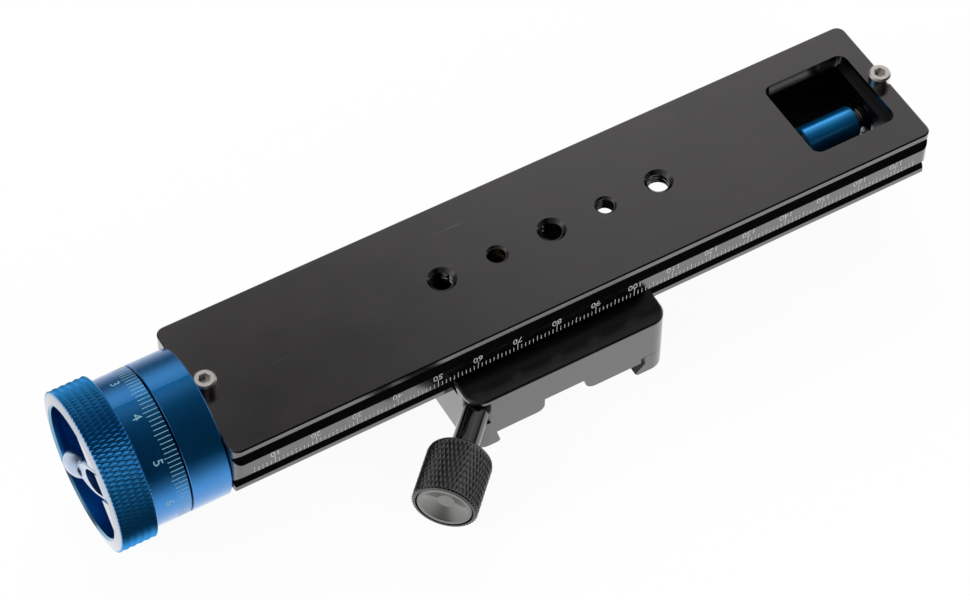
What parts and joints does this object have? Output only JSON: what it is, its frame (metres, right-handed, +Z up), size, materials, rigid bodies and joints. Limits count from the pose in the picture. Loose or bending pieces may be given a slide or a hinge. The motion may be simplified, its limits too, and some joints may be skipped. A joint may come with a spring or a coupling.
{
  "type": "macro focusing rail",
  "caption": "Macro focusing rail: a scaled dovetail rail driven over a quick-release clamp carriage by a lead screw, with a dial knob and a fold-out crank.",
  "frame": {"origin": "on the ground, under the middle of the whole object's box, clamp down and plate up", "axes": "+X along the rail from the knob to the far end, +Y across it away from the clamp knob, +Z up out of the camera plate"},
  "size_m": [0.2082, 0.0734, 0.0378],
  "materials": {
    "rail_anodised": "fine bead-blasted black anodising",
    "blue_anodised": "satin blue anodising",
    "dial_blue": "satin blue anodising with white engraved marks",
    "ring_blue": "blue anodising over a diamond knurl",
    "blue_sleeve": "glossy blue anodising",
    "black_anodised": "satin black anodising",
    "carriage_anodised": "satin black anodising",
    "jaw_anodised": "satin black anodising",
    "black_steel": "black oxide",
    "dark_steel": "black oxide, rubbed bright at the edges",
    "bright_steel": "ground",
    "bearing_steel": "polished",
    "screw_steel": "rolled thread, lightly oiled",
    "screw_bright": "polished",
    "spring_steel": "drawn wire",
    "crank_silver": "satin clear anodising",
    "nut_brass": "machined",
    "knob_black": "black anodising over a diamond knurl",
    "cap_black": "black with a shallow turned dish"
  },
  "bodies": {
    "rail": {"rail_body": "rail_anodised", "knob_housing": "blue_anodised", "housing_screws": "black_steel", "stop_screws": "dark_steel", "bearing_retainer": "bright_steel", "front_bearing_outer_ring": "bearing_steel", "front_bearing_balls": "bearing_steel", "end_block": "black_anodised", "end_block_screws": "black_steel", "end_bearing_outer_ring": "bearing_steel", "end_bearing_balls": "bearing_steel"},
    "screw": {"lead_screw": "screw_steel", "thrust_sleeve": "blue_sleeve", "sleeve_pin": "bright_steel", "thrust_washer": "bright_steel", "front_bearing_inner_ring": "bearing_steel", "end_bearing_inner_ring": "bearing_steel", "dial_drum": "dial_blue", "knurled_ring": "ring_blue", "ring_screws": "black_steel", "knob_screw": "dark_steel", "crank_hinge_pin": "bright_steel"},
    "crank": {"crank_yoke": "crank_silver", "crank_spindle": "bright_steel"},
    "grip": {"crank_grip": "crank_silver"},
    "carriage": {"carriage_block": "carriage_anodised", "lead_nut": "nut_brass", "nut_screws": "black_steel", "jaw_springs": "spring_steel"},
    "plunger": {"clamp_plunger": "bright_steel"},
    "clamp_knob_unit": {"clamp_knob": "knob_black", "clamp_knob_cap": "cap_black", "clamp_screw": "screw_bright"},
    "jaw": {"clamp_jaw": "jaw_anodised", "draw_rod": "bright_steel", "guide_rod": "bright_steel"}
  },
  "joints": [
    {"name": "screw_turn", "type": "hinge", "parent": "rail", "child": "screw", "pos_m": [-0.07525, 0.01075, 0.0189], "axis": [1, 0, 0], "range_deg": [-21601, 19261]},
    {"name": "carriage_travel", "type": "slide", "parent": "rail", "child": "carriage", "axis": [1, 0, 0], "range_m": [-0.0535, 0.06]},
    {"name": "crank_fold", "type": "hinge", "parent": "screw", "child": "crank", "pos_m": [-0.1009, 0.0001, 0.02783], "axis": [0, 0.6428, 0.766], "range_deg": [0, 90]},
    {"name": "grip_spin", "type": "hinge", "parent": "crank", "child": "grip", "pos_m": [-0.1009, 0.01075, 0.0189], "axis": [0, 0.766, -0.6428], "continuous": true},
    {"name": "plunger_slide", "type": "slide", "parent": "carriage", "child": "plunger", "axis": [0.7071, 0.7071, 0], "range_m": [-0.00136, 0.00071]},
    {"name": "clamp_knob_turn", "type": "hinge", "parent": "plunger", "child": "clamp_knob_unit", "pos_m": [-0.02155, -0.01525, 0.0121], "axis": [0.7071, 0.7071, 0], "range_deg": [-611, 321]},
    {"name": "jaw_slide", "type": "slide", "parent": "carriage", "child": "jaw", "axis": [1, 0, 0], "range_m": [-0.00101, 0.00192], "deforming": ["jaw_springs"]}
  ],
  "couplings": [
    {"joint": "screw_turn", "follows": "carriage_travel", "rad_per_m": -6283.2},
    {"joint": "clamp_knob_turn", "follows": "plunger_slide", "rad_per_m": 7854},
    {"joint": "jaw_slide", "follows": "plunger_slide", "ratio": -1.4142}
  ]
}
